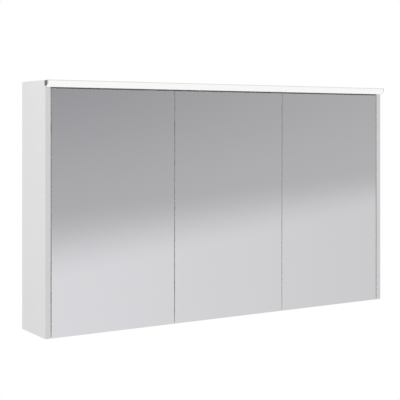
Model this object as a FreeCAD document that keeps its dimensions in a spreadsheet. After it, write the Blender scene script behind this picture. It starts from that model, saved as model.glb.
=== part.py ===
import FreeCAD
import Part
import math
import os
import Sketcher
from FreeCAD import Placement, Rotation, Vector

# A wall-hung bathroom mirror cabinet with three mirror doors and a light along the top edge.
# X runs to the right, Y towards the wall and Z up; the origin is the middle of the wall plane,
# which is also the middle of the four wall screws. All sizes are millimetres.

doc = FreeCAD.newDocument("mirror_cabinet")

SIZES = (
    # Carcass boards
    ("cabinet_width", "1200"),
    ("cabinet_height", "700"),
    ("cabinet_depth", "165"),
    ("board_thickness", "16"),
    ("back_thickness", "8"),
    ("bottom_rise", "20"),
    ("edge_easing", "0.8"),
    # Wall fixing
    ("wall_screw_inset_x", "200"),
    ("wall_screw_inset_z", "80"),
    ("wall_screw_hole", "7"),
    ("wall_plate_size", "40"),
    ("wall_plate_thickness", "2"),
    # Board connectors
    ("cam_diameter", "15"),
    ("cam_height", "12"),
    ("cam_setback", "24"),
    ("cam_inset", "30"),
    ("cam_slot", "2"),
    ("bolt_diameter", "6"),
    ("bolt_depth", "10"),
    # Doors
    ("door_gap", "3"),
    ("door_top_gap", "4"),
    ("mirror_thickness", "4"),
    ("mirror_arris", "1"),
    ("door_core_thickness", "14"),
    ("inner_mirror_thickness", "3"),
    ("inner_mirror_gap", "4"),
    ("carcass_gap", "4"),
    ("core_bevel", "6"),
    ("bumper_diameter", "7"),
    ("bumper_inset", "36"),
    ("bumper_rise", "1"),
    ("bumper_clearance", "0.3"),
    # Hinges
    ("hinge_inset", "108"),
    ("pin_diameter", "4"),
    ("eye_radius", "3.8"),
    ("eye_clearance", "0.2"),
    ("swing_margin", "2.8"),
    ("hinge_block_height", "30"),
    ("hinge_slot_web", "7"),
    ("hinge_flange_width", "30"),
    ("hinge_flange_overlap", "14"),
    ("hinge_flange_thickness", "1.5"),
    ("leaf_thickness", "5"),
    ("leaf_clearance", "0.4"),
    ("leaf_side_clearance", "0.5"),
    ("neck_width", "6.6"),
    ("neck_lean", "25"),
    ("arm_clearance", "5"),
    ("arm_shoulder", "12"),
    ("arm_length", "52"),
    ("arm_cover_width", "9"),
    ("arm_cover_height", "14"),
    ("arm_plate_height", "46"),
    ("arm_plate_thickness", "3"),
    ("arm_screw_spacing", "32"),
    # Door catches
    ("catch_length", "40"),
    ("catch_depth", "18"),
    ("catch_height", "14"),
    ("catch_inset", "58"),
    ("catch_clearance", "0.2"),
    ("strike_height", "12"),
    ("strike_thickness", "1.5"),
    # Glass shelves
    ("shelf_thickness", "6"),
    ("shelf_side_gap", "1.5"),
    ("shelf_setback", "8"),
    ("shelf_back_gap", "2"),
    ("shelf_arris", "0.6"),
    ("support_diameter", "5"),
    ("support_depth", "7"),
    ("support_reach", "9"),
    ("support_width", "10"),
    ("support_inset", "25"),
    # Light
    ("light_height", "19"),
    ("light_overhang", "16"),
    ("light_setback", "6"),
    ("light_front_height", "11"),
    ("light_chin", "7"),
    ("light_wall", "1.5"),
    ("light_roof_edge", "2"),
    ("light_flange_land", "20"),
    ("light_cap_thickness", "1.2"),
    ("light_screw_margin", "120"),
    ("diffuser_lip", "2"),
    ("led_board_width", "8"),
    ("led_board_thickness", "1.2"),
    ("led_board_margin", "6"),
    ("led_size", "3.5"),
    ("led_height", "1"),
    ("led_count", "48"),
    # Screws
    ("screw_diameter", "4"),
    ("screw_head_diameter", "8"),
    ("screw_head_height", "2"),
    ("screw_depth", "11"),
    # Electric parts on the tray behind the light
    ("driver_length", "110"),
    ("driver_width", "42"),
    ("driver_height", "17"),
    ("driver_end_gap", "45"),
    ("driver_easing", "1.5"),
    ("terminal_length", "40"),
    ("terminal_width", "30"),
    ("terminal_height", "18"),
    ("terminal_gap", "30"),
    ("tray_back_gap", "32"),
    ("lead_diameter", "4"),
    ("lead_bend", "10"),
    ("lead_drop_bend", "11"),
    ("led_lead_rise", "4"),
    ("led_lead_gap", "9"),
    ("led_lead_tail", "1.5"),
    ("switch_lead_rise", "14"),
    ("lead_entry_depth", "9"),
    ("grommet_wall", "2.5"),
    ("grommet_flange", "1.5"),
    ("supply_bore", "7"),
    ("clip_width", "8"),
    ("clip_cover", "1.6"),
    # Socket and switch box in the right compartment
    ("socket_box_width", "120"),
    ("socket_box_depth", "50"),
    ("socket_box_height", "70"),
    ("outlet_inset", "38"),
    ("outlet_diameter", "46"),
    ("outlet_length", "22"),
    ("outlet_well_diameter", "39"),
    ("outlet_well_depth", "17.5"),
    ("outlet_contact_diameter", "5"),
    ("outlet_contact_spacing", "19"),
    ("switch_inset", "28"),
    ("switch_width", "30"),
    ("switch_height", "44"),
    ("switch_depth", "20"),
    ("switch_rim", "2"),
    ("switch_rim_thickness", "1.5"),
    ("switch_wall", "4"),
    ("rocker_clearance", "0.5"),
    ("rocker_end_clearance", "1.5"),
    ("rocker_depth", "8.5"),
    ("rocker_dish", "2"),
    ("rocker_heel", "4"),
    ("rocker_tilt", "6"),
    ("trunnion_diameter", "3"),
    ("trunnion_length", "2"),
    # Fits, and how far a drill or cutter runs past the face it starts from
    ("fit_clearance", "0.1"),
    ("running_clearance", "0.05"),
    ("overcut", "1"),
)

# Places worked out from the sizes.
PLACES = (
    ("inner_half", "Sizes.cabinet_width / 2 - Sizes.board_thickness"),
    ("half_height", "Sizes.cabinet_height / 2"),
    ("back_front", "-Sizes.back_thickness"),
    ("panel_front", "-Sizes.cabinet_depth"),
    ("light_bottom", "half_height - Sizes.light_height"),
    ("inner_mirror_margin",
     "Sizes.hinge_flange_overlap + Sizes.hinge_flange_width + Sizes.inner_mirror_gap"),
    ("tray_floor", "light_bottom"),
    ("ceiling", "tray_floor - Sizes.board_thickness"),
    ("floor_under", "-half_height + Sizes.bottom_rise"),
    ("floor_top", "floor_under + Sizes.board_thickness"),
    ("door_top", "light_bottom - Sizes.door_top_gap"),
    ("door_bottom", "-half_height"),
    ("door_width", "(2 * inner_half - 4 * Sizes.door_gap) / 3"),
    ("partition_inner", "(door_width + Sizes.door_gap - Sizes.board_thickness) / 2"),
    ("partition_outer", "partition_inner + Sizes.board_thickness"),
    ("mirror_back", "panel_front + Sizes.mirror_thickness"),
    ("core_back", "mirror_back + Sizes.door_core_thickness"),
    ("carcass_front", "core_back + Sizes.carcass_gap"),
    ("pivot_depth", "Sizes.mirror_thickness + Sizes.eye_radius + Sizes.eye_clearance"),
    ("pivot_inset", "(pivot_depth^2 - Sizes.door_gap^2) / (2 * Sizes.door_gap) + Sizes.swing_margin"),
    ("pivot_y", "panel_front + pivot_depth"),
    ("neck_half", "Sizes.neck_width / 2 / cos(Sizes.neck_lean)"),
    ("neck_length", "pivot_inset + Sizes.door_gap + Sizes.arm_clearance"),
    ("neck_shift", "neck_length * tan(Sizes.neck_lean)"),
    ("arm_start", "pivot_y + neck_length"),
    ("hinge_slot_half", "Sizes.leaf_thickness / 2 + Sizes.leaf_clearance"),
    ("flange_rear", "core_back + Sizes.hinge_flange_thickness"),
    ("leaf_reach", "pivot_inset + neck_half + (flange_rear - pivot_y) * tan(Sizes.neck_lean)"),
    ("slot_end", "leaf_reach + Sizes.leaf_side_clearance"),
    ("block_width", "slot_end + Sizes.hinge_slot_web"),
    ("upper_hinge", "door_top - Sizes.hinge_inset"),
    ("lower_hinge", "door_bottom + Sizes.hinge_inset"),
    ("shelf_front", "carcass_front + Sizes.shelf_setback"),
    ("shelf_back", "back_front - Sizes.shelf_back_gap"),
    ("shelf_space", "(ceiling - floor_top) / 3"),
    ("light_back", "panel_front + Sizes.light_setback"),
    ("light_front", "panel_front - Sizes.light_overhang"),
    ("light_half", "Sizes.cabinet_width / 2 - Sizes.light_cap_thickness"),
    ("light_break", "half_height - Sizes.light_front_height"),
    ("light_heel", "light_back - Sizes.light_chin"),
    ("cover_top", "half_height - Sizes.light_roof_edge"),
    ("flange_back", "carcass_front + Sizes.light_flange_land"),
    ("led_top", "half_height - Sizes.light_wall"),
    ("led_middle", "(light_front + light_back) / 2"),
    ("led_half", "light_half - Sizes.led_board_margin"),
    ("light_screw_pitch", "(Sizes.cabinet_width / 2 - Sizes.light_screw_margin) / 2"),
    ("driver_right", "inner_half - Sizes.driver_end_gap"),
    ("driver_left", "driver_right - Sizes.driver_length"),
    ("terminal_right", "driver_left - Sizes.terminal_gap"),
    ("terminal_left", "terminal_right - Sizes.terminal_length"),
    ("tray_back", "back_front - Sizes.tray_back_gap"),
    ("terminal_y", "tray_back - Sizes.terminal_width / 2"),
    ("driver_y", "tray_back - Sizes.driver_width / 2"),
    ("tray_middle", "tray_floor + Sizes.light_height / 2"),
    ("led_lead_x", "inner_half - Sizes.led_lead_gap"),
    ("led_lead_z", "tray_floor + Sizes.led_lead_rise"),
    ("switch_lead_z", "tray_floor + Sizes.switch_lead_rise"),
    ("lead_drop_x", "partition_outer + Sizes.socket_box_width / 2"),
    ("socket_right", "partition_outer + Sizes.socket_box_width"),
    ("socket_front", "back_front - Sizes.socket_box_depth"),
    ("socket_low", "ceiling - Sizes.socket_box_height"),
    ("socket_middle", "ceiling - Sizes.socket_box_height / 2"),
    ("outlet_x", "partition_outer + Sizes.outlet_inset"),
    ("outlet_back", "socket_front + Sizes.outlet_length"),
    ("well_floor", "socket_front + Sizes.outlet_well_depth"),
    ("switch_x", "socket_right - Sizes.switch_inset"),
    ("switch_face", "socket_front - Sizes.switch_rim_thickness"),
    ("window_half_x", "Sizes.switch_width / 2 - Sizes.switch_wall"),
    ("window_half_z", "Sizes.switch_height / 2 - Sizes.switch_wall"),
    ("rocker_half_x", "window_half_x - Sizes.rocker_clearance"),
    ("rocker_half_z", "window_half_z - Sizes.rocker_end_clearance"),
    ("rocker_y", "switch_face + Sizes.rocker_depth - Sizes.rocker_dish"),
)

sizes = doc.addObject("Spreadsheet::Sheet", "Sizes")
for row, (alias, value) in enumerate(SIZES, start=1):
    sizes.set(f"A{row}", alias)
    sizes.set(f"B{row}", value)
    sizes.setAlias(f"B{row}", alias)

places = doc.addObject("Spreadsheet::Sheet", "Places")
for row, (alias, _) in enumerate(PLACES, start=1):
    places.set(f"A{row}", alias)
    places.setAlias(f"B{row}", alias)
for row, (_, formula) in enumerate(PLACES, start=1):
    places.set(f"B{row}", "=" + formula)
doc.recompute()

PIECES = []
AXIS_TURN = {
    "x": Rotation(Vector(0, 1, 0), 90),
    "y": Rotation(Vector(1, 0, 0), -90),
    "z": Rotation(),
}


def piece(solid, label):
    """Name one finished piece of the cabinet."""
    solid.Label = label
    PIECES.append(solid)
    return solid


def box(name, x, y, z):
    """A block between low and high faces along each axis."""
    block = doc.addObject("Part::Box", name)
    for (low, high), length, axis in zip((x, y, z), ("Length", "Width", "Height"), "xyz"):
        block.setExpression(length, f"({high}) - ({low})")
        block.setExpression(f"Placement.Base.{axis}", low)
    return block


def rod(name, axis, radius, x, y, z):
    """A round bar; the coordinate along its axis is a pair of ends."""
    bar = doc.addObject("Part::Cylinder", name)
    bar.Placement = Placement(Vector(), AXIS_TURN[axis])
    bar.setExpression("Radius", radius)
    for letter, place in zip("xyz", (x, y, z)):
        if letter == axis:
            low, high = place
            bar.setExpression("Height", f"({high}) - ({low})")
            place = low
        bar.setExpression(f"Placement.Base.{letter}", place)
    return bar


def group(name, solids):
    """Separate solids kept together under one name."""
    members = doc.addObject("Part::Compound", name)
    members.Links = solids
    return members


def fuse(name, solids):
    """One solid made of several that run into each other."""
    joined = doc.addObject("Part::MultiFuse", name)
    joined.Shapes = solids
    joined.Refine = True
    return joined


def cut(name, base, tools):
    """A solid with pockets and bores taken out."""
    result = doc.addObject("Part::Cut", name)
    result.Base = base
    result.Tool = tools[0] if len(tools) == 1 else group(name + "_bores", tools)
    return result


def prism(name, role, outline, start, length):
    """A straight body with the given outline on one of its own planes."""
    body = doc.addObject("PartDesign::Body", name)
    sketch = body.newObject("Sketcher::SketchObject", name + "_outline")
    plane = next(item for item in body.Origin.OriginFeatures if item.Role == role)
    sketch.AttachmentSupport = [(plane, "")]
    sketch.MapMode = "FlatFace"
    sketch.setExpression("AttachmentOffset.Base.z", start)
    draw_outline(sketch, outline)
    pad = body.newObject("PartDesign::Pad", name + "_pad")
    pad.Profile = sketch
    pad.setExpression("Length", length)
    return body


def draw_outline(sketch, outline):
    """A closed outline whose corners are tied to the sizes."""
    count = len(outline)
    turn = 2 * math.pi / count
    ring = [Vector(math.cos(turn * i), math.sin(turn * i), 0) for i in range(count)]
    for i in range(count):
        sketch.addGeometry(Part.LineSegment(ring[i], ring[(i + 1) % count]), False)
    for i in range(count):
        sketch.addConstraint(Sketcher.Constraint("Coincident", i, 2, (i + 1) % count, 1))
    for i, corner in enumerate(outline):
        for kind, rough, place in zip(("DistanceX", "DistanceY"), ring[i], corner):
            number = sketch.addConstraint(Sketcher.Constraint(kind, -1, 1, i, 1, rough))
            sketch.setExpression(f"Constraints[{number}]", place)


def eased(name, block, kind, alias, keep):
    """Round or bevel the edges of a block that the test keeps."""
    doc.recompute()
    amount = sizes.get(alias)
    worked = doc.addObject(kind, name)
    worked.Base = block
    numbers = [i for i, edge in enumerate(block.Shape.Edges, start=1) if keep(edge.BoundBox)]
    worked.Edges = [(i, amount, amount) for i in numbers]
    return worked


def beyond(sign, start, distance):
    """A place a distance from a start, to the right or to the left."""
    return f"{start} + ({distance})" if sign > 0 else f"{start} - ({distance})"


def band(sign, start, near, far):
    """Low and high place of a band between two distances from a start."""
    ends = (beyond(sign, start, near), beyond(sign, start, far))
    return ends if sign > 0 else ends[::-1]


def around(middle, half):
    """Low and high place of a band centred on a place."""
    return f"{middle} - ({half})", f"{middle} + ({half})"


BORED = ("left_side_panel", "right_side_panel", "top_panel", "bottom_panel",
         "left_partition", "right_partition", "back_panel")
bores = {name: [] for name in BORED}

SCREW_RADIUS = "Sizes.screw_diameter / 2"
SCREW_BORE = "Sizes.screw_diameter / 2 + Sizes.fit_clearance"
SCREW_HEAD = "Sizes.screw_head_diameter / 2"
SCREW_BORE_DEPTH = "Sizes.screw_depth + Sizes.fit_clearance"
OVERCUT = "Sizes.overcut"

# Glass shelves: two in each compartment, each on four plug-in supports.
COMPARTMENTS = (
    ("left", "-Places.inner_half", "-Places.partition_outer", "left_side_panel", "left_partition"),
    ("middle", "-Places.partition_inner", "Places.partition_inner", "left_partition", "right_partition"),
    ("right", "Places.partition_outer", "Places.inner_half", "right_partition", "right_side_panel"),
)
LEVELS = ("lower", "upper")
SUPPORT_RADIUS = "Sizes.support_diameter / 2"
SUPPORT_ROWS = (
    ("front", "Places.shelf_front + Sizes.support_inset"),
    ("back", "Places.shelf_back - Sizes.support_inset"),
)
supports = []
for room, low, high, low_panel, high_panel in COMPARTMENTS:
    for step, level in enumerate(LEVELS, start=1):
        underside = f"Places.floor_top + {step} * Places.shelf_space"
        glass = box(
            f"{room}_{level}_glass",
            (f"{low} + Sizes.shelf_side_gap", f"{high} - Sizes.shelf_side_gap"),
            ("Places.shelf_front", "Places.shelf_back"),
            (underside, f"{underside} + Sizes.shelf_thickness"),
        )
        name = f"{room}_{level}_shelf"
        piece(eased(name + "_ground", glass, "Part::Chamfer", "shelf_arris", lambda edge: True), name)
        axis_z = f"{underside} - {SUPPORT_RADIUS}"
        for sign, face, panel in ((1, low, low_panel), (-1, high, high_panel)):
            for row, row_y in SUPPORT_ROWS:
                mark = f"{room}_{level}_{panel}_{row}"
                plug = rod(mark + "_plug", "x", SUPPORT_RADIUS,
                           band(sign, face, "-Sizes.support_depth", "Sizes.support_reach"), row_y, axis_z)
                rest = box(mark + "_rest", band(sign, face, "0", "Sizes.support_reach"),
                           around(row_y, "Sizes.support_width / 2"),
                           (f"{underside} - Sizes.support_diameter", underside))
                supports.append(fuse(mark + "_support", [plug, rest]))
                bores[panel].append(rod(
                    mark + "_bore", "x", SUPPORT_RADIUS + " + Sizes.fit_clearance",
                    band(sign, face, "-Sizes.support_depth - Sizes.fit_clearance", OVERCUT), row_y, axis_z))
piece(group("supports", supports), "shelf_supports")

# Light: a folded profile along the top front edge, with an opal cover for its front and slanting underside.
LAMP_LENGTH = "2 * Places.light_half"
lamp_outline = (
    ("Places.light_back", "Places.half_height"),
    ("Places.light_front", "Places.half_height"),
    ("Places.light_front", "Places.cover_top"),
    ("Places.light_front + Sizes.light_wall", "Places.cover_top"),
    ("Places.light_front + Sizes.light_wall", "Places.half_height - Sizes.light_wall"),
    ("Places.light_back - Sizes.light_wall", "Places.half_height - Sizes.light_wall"),
    ("Places.light_back - Sizes.light_wall", "Places.light_bottom + Sizes.light_wall"),
    ("Places.light_heel + Sizes.diffuser_lip", "Places.light_bottom + Sizes.light_wall"),
    ("Places.light_heel + Sizes.diffuser_lip", "Places.light_bottom"),
    ("Places.light_back", "Places.light_bottom"),
)
lamp_shell = prism("lamp_shell", "YZ_Plane", lamp_outline, "-Places.light_half", LAMP_LENGTH)
lamp_flange = box(
    "lamp_flange", ("-Places.inner_half", "Places.inner_half"),
    ("Places.light_back - Sizes.light_wall", "Places.flange_back"),
    ("Places.light_bottom", "Places.light_bottom + Sizes.light_wall"),
)
lamp_screw_y = "Places.carcass_front + Sizes.light_flange_land / 2"
lamp_head_z = "Places.light_bottom + Sizes.light_wall"
lamp_holes = [rod(
    "lead_hole", "y", "Sizes.lead_diameter / 2 + Sizes.fit_clearance", "Places.led_lead_x",
    (f"Places.light_back - Sizes.light_wall - {OVERCUT}", f"Places.light_back + {OVERCUT}"),
    "Places.led_lead_z")]
lamp_screws = []
SCREW_COLUMNS = ("far_left", "left", "middle", "right", "far_right")
for column, spot in enumerate(SCREW_COLUMNS, start=-(len(SCREW_COLUMNS) // 2)):
    screw_x = f"{column} * Places.light_screw_pitch"
    mark = f"lamp_screw_{spot}"
    head = rod(mark + "_head", "z", SCREW_HEAD, screw_x, lamp_screw_y,
               (lamp_head_z, lamp_head_z + " + Sizes.screw_head_height"))
    shank = rod(mark + "_shank", "z", SCREW_RADIUS, screw_x, lamp_screw_y,
                ("Places.tray_floor - Sizes.screw_depth", lamp_head_z + " + Sizes.screw_head_height"))
    lamp_screws.append(fuse(mark, [head, shank]))
    hole = rod(mark + "_bore", "z", SCREW_BORE, screw_x, lamp_screw_y,
               (f"Places.tray_floor - ({SCREW_BORE_DEPTH})", lamp_head_z))
    lamp_holes.append(hole)
    bores["top_panel"].append(hole)
piece(cut("lamp_profile", fuse("lamp_fold", [lamp_shell, lamp_flange]), lamp_holes), "light_profile")
piece(group("lamp_screws", lamp_screws), "light_screws")

cover_outline = (
    ("Places.light_front", "Places.cover_top"),
    ("Places.light_front", "Places.light_break"),
    ("Places.light_heel", "Places.light_bottom"),
    ("Places.light_heel + Sizes.diffuser_lip", "Places.light_bottom"),
    ("Places.light_heel + Sizes.diffuser_lip", "Places.light_bottom + Sizes.light_wall"),
    ("Places.light_front + Sizes.light_wall", "Places.light_break + Sizes.light_wall / 2"),
    ("Places.light_front + Sizes.light_wall", "Places.cover_top"),
)
piece(prism("lamp_cover", "YZ_Plane", cover_outline, "-Places.light_half", LAMP_LENGTH), "light_diffuser")

cap_outline = (
    ("Places.light_back", "Places.half_height"),
    ("Places.light_front", "Places.half_height"),
    ("Places.light_front", "Places.light_break"),
    ("Places.light_heel", "Places.light_bottom"),
    ("Places.light_back", "Places.light_bottom"),
)
caps = [
    prism("left_cap", "YZ_Plane", cap_outline, "-Sizes.cabinet_width / 2", "Sizes.light_cap_thickness"),
    prism("right_cap", "YZ_Plane", cap_outline, "Places.light_half", "Sizes.light_cap_thickness"),
]
piece(group("caps", caps), "light_end_caps")

# LED board under the roof of the profile, with its row of chips.
LED_LOW = "Places.led_top - Sizes.led_board_thickness"
led_body = doc.addObject("PartDesign::Body", "led_strip")
strip_plane = next(item for item in led_body.Origin.OriginFeatures if item.Role == "XY_Plane")


def strip_layer(name, x, y, top, thickness):
    """A rectangular layer of the LED strip, hanging down from its upper face."""
    sketch = led_body.newObject("Sketcher::SketchObject", name + "_outline")
    sketch.AttachmentSupport = [(strip_plane, "")]
    sketch.MapMode = "FlatFace"
    sketch.setExpression("AttachmentOffset.Base.z", f"{top} - ({thickness})")
    draw_outline(sketch, ((x[0], y[0]), (x[1], y[0]), (x[1], y[1]), (x[0], y[1])))
    pad = led_body.newObject("PartDesign::Pad", name + "_pad")
    pad.Profile = sketch
    pad.setExpression("Length", thickness)
    return sketch, pad


strip_layer("led_base", ("-Places.led_half", "Places.led_half"),
            around("Places.led_middle", "Sizes.led_board_width / 2"),
            "Places.led_top", "Sizes.led_board_thickness")
chip_sketch, chip_pad = strip_layer(
    "led_chip", ("-Places.led_half + Sizes.led_size", "-Places.led_half + 2 * Sizes.led_size"),
    around("Places.led_middle", "Sizes.led_size / 2"), LED_LOW, "Sizes.led_height")
chip_row = led_body.newObject("PartDesign::LinearPattern", "led_row")
chip_row.Originals = [chip_pad]
chip_row.Direction = (chip_sketch, ["H_Axis"])
chip_row.setExpression("Length", "2 * Places.led_half - 3 * Sizes.led_size")
chip_row.setExpression("Occurrences", "Sizes.led_count")
led_body.Tip = chip_row
piece(led_body, "led_board")

# Doors: a board between two mirrors, hung on two concealed hinges with a steel pin each.
# The pin sits so near the front edge that the swinging edge stays inside the door gap.
DOORS = (
    ("left", 1, "-Places.inner_half + Sizes.door_gap", "-Places.inner_half", "left_side_panel"),
    ("middle", 1, "-Places.door_width / 2", "-Places.partition_inner", "left_partition"),
    ("right", -1, "Places.inner_half - Sizes.door_gap", "Places.inner_half", "right_side_panel"),
)
HINGES = (("upper", "Places.upper_hinge"), ("lower", "Places.lower_hinge"))
PIN_RADIUS = "Sizes.pin_diameter / 2"
PIN_BORE = "Sizes.pin_diameter / 2 + Sizes.running_clearance"
BLOCK_HALF = "Sizes.hinge_block_height / 2"
FLANGE_END = "Sizes.hinge_flange_overlap + Sizes.hinge_flange_width"
FLANGE_SCREW = "(Places.block_width + " + FLANGE_END + ") / 2"
ARM_SCREW_Y = "Places.arm_start + Sizes.arm_length / 2"
ARM_COVER = "Sizes.arm_plate_thickness + Sizes.arm_cover_width"
ARM_HEAD = "Sizes.arm_plate_thickness + Sizes.screw_head_height"
DOOR_HEIGHT = "Places.door_top - Places.door_bottom"
door_z = ("Places.door_bottom", "Places.door_top")


def board_outline(sign, edge, far):
    """Plan of a door board with its inner hinge edge bevelled, as far as a distance from that edge."""
    return (
        (edge, "Places.mirror_back"),
        (beyond(sign, edge, far), "Places.mirror_back"),
        (beyond(sign, edge, far), "Places.core_back"),
        (beyond(sign, edge, "Sizes.core_bevel"), "Places.core_back"),
        (edge, "Places.core_back - Sizes.core_bevel"),
    )


def flange_screw_spots(middle):
    """Heights of the two screws of one hinge flange."""
    return ("high", f"{middle} + {BLOCK_HALF} / 2"), ("low", f"{middle} - {BLOCK_HALF} / 2")


def hinge_body(mark, sign, edge, middle):
    """Door half of a hinge: a slotted block let into the board, with a flange behind it."""
    block = prism(mark + "_block", "XY_Plane", board_outline(sign, edge, "Places.block_width"),
                  f"{middle} - {BLOCK_HALF}", "Sizes.hinge_block_height")
    flange = box(mark + "_flange", band(sign, edge, "Sizes.hinge_flange_overlap", FLANGE_END),
                 ("Places.core_back", "Places.flange_rear"), around(middle, BLOCK_HALF))
    slot = box(mark + "_slot", band(sign, edge, f"-{OVERCUT}", "Places.slot_end"),
               (f"Places.mirror_back - {OVERCUT}", f"Places.flange_rear + {OVERCUT}"),
               around(middle, "Places.hinge_slot_half"))
    bore = rod(mark + "_pin_bore", "z", PIN_BORE, beyond(sign, edge, "Places.pivot_inset"), "Places.pivot_y",
               around(middle, f"{BLOCK_HALF} + {OVERCUT}"))
    holes = [slot, bore]
    for spot, height in flange_screw_spots(middle):
        holes.append(rod(f"{mark}_{spot}_hole", "y", SCREW_BORE, beyond(sign, edge, FLANGE_SCREW),
                         (f"Places.core_back - {OVERCUT}", f"Places.flange_rear + {OVERCUT}"), height))
    return cut(mark + "_body", fuse(mark + "_casting", [block, flange]), holes)


def flange_screws(mark, sign, edge, middle):
    """Two screws through a hinge flange into the board, and the bores they sit in."""
    screws = []
    holes = []
    screw_x = beyond(sign, edge, FLANGE_SCREW)
    head_back = "Places.flange_rear + Sizes.screw_head_height"
    for spot, height in flange_screw_spots(middle):
        head = rod(f"{mark}_{spot}_head", "y", SCREW_HEAD, screw_x,
                   ("Places.flange_rear", head_back), height)
        shank = rod(f"{mark}_{spot}_shank", "y", SCREW_RADIUS, screw_x,
                    ("Places.core_back - Sizes.screw_depth", head_back), height)
        screws.append(fuse(f"{mark}_{spot}_screw", [head, shank]))
        holes.append(rod(f"{mark}_{spot}_bore", "y", SCREW_BORE, screw_x,
                         (f"Places.core_back - ({SCREW_BORE_DEPTH})", f"Places.core_back + {OVERCUT}"),
                         height))
    return screws, holes


def arm_screw_spots(middle):
    """Heights of the two screws of one arm plate."""
    return (("top", f"{middle} + Sizes.arm_screw_spacing / 2"),
            ("bottom", f"{middle} - Sizes.arm_screw_spacing / 2"))


def hinge_arm(mark, sign, pivot_x, face, middle):
    """Carcass half of a hinge: a leaning leaf with the pin eye, on a plate screwed to the panel."""
    leaf_outline = (
        (beyond(sign, pivot_x, "-Places.neck_half"), "Places.pivot_y"),
        (beyond(sign, pivot_x, "Places.neck_half"), "Places.pivot_y"),
        (beyond(sign, pivot_x, "Places.neck_half + Places.neck_shift"), "Places.arm_start"),
        (beyond(sign, pivot_x, "Places.neck_half + Places.neck_shift"),
         "Places.arm_start + Sizes.arm_shoulder"),
        (beyond(sign, face, ARM_COVER), ARM_SCREW_Y),
        (face, ARM_SCREW_Y),
        (face, "Places.arm_start"),
        (beyond(sign, pivot_x, "Places.neck_shift - Places.neck_half"), "Places.arm_start"),
    )
    leaf_z = around(middle, "Sizes.leaf_thickness / 2")
    leaf = prism(mark + "_leaf", "XY_Plane", leaf_outline, leaf_z[0], "Sizes.leaf_thickness")
    eye = rod(mark + "_eye", "z", "Sizes.eye_radius", pivot_x, "Places.pivot_y", leaf_z)
    arm_y = ("Places.arm_start", "Places.arm_start + Sizes.arm_length")
    plate = box(mark + "_plate", band(sign, face, "0", "Sizes.arm_plate_thickness"), arm_y,
                around(middle, "Sizes.arm_plate_height / 2"))
    cover = box(mark + "_cover", band(sign, face, "0", ARM_COVER), arm_y,
                around(middle, "Sizes.arm_cover_height / 2"))
    holes = [rod(mark + "_eye_bore", "z", PIN_BORE, pivot_x, "Places.pivot_y",
                 around(middle, f"Sizes.leaf_thickness / 2 + {OVERCUT}"))]
    for spot, height in arm_screw_spots(middle):
        holes.append(rod(f"{mark}_{spot}_hole", "x", SCREW_BORE,
                         band(sign, face, f"-{OVERCUT}", f"Sizes.arm_plate_thickness + {OVERCUT}"),
                         ARM_SCREW_Y, height))
    return cut(mark + "_arm", fuse(mark + "_forging", [leaf, eye, plate, cover]), holes)


def arm_plate_screws(mark, sign, face, middle):
    """Two screws through an arm plate into the panel, and the bores they sit in."""
    screws = []
    holes = []
    for spot, height in arm_screw_spots(middle):
        head = rod(f"{mark}_{spot}_head", "x", SCREW_HEAD,
                   band(sign, face, "Sizes.arm_plate_thickness", ARM_HEAD), ARM_SCREW_Y, height)
        shank = rod(f"{mark}_{spot}_shank", "x", SCREW_RADIUS,
                    band(sign, face, "-Sizes.screw_depth", ARM_HEAD), ARM_SCREW_Y, height)
        screws.append(fuse(f"{mark}_{spot}_screw", [head, shank]))
        holes.append(rod(f"{mark}_{spot}_bore", "x", SCREW_BORE,
                         band(sign, face, f"-({SCREW_BORE_DEPTH})", OVERCUT), ARM_SCREW_Y, height))
    return screws, holes


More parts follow.
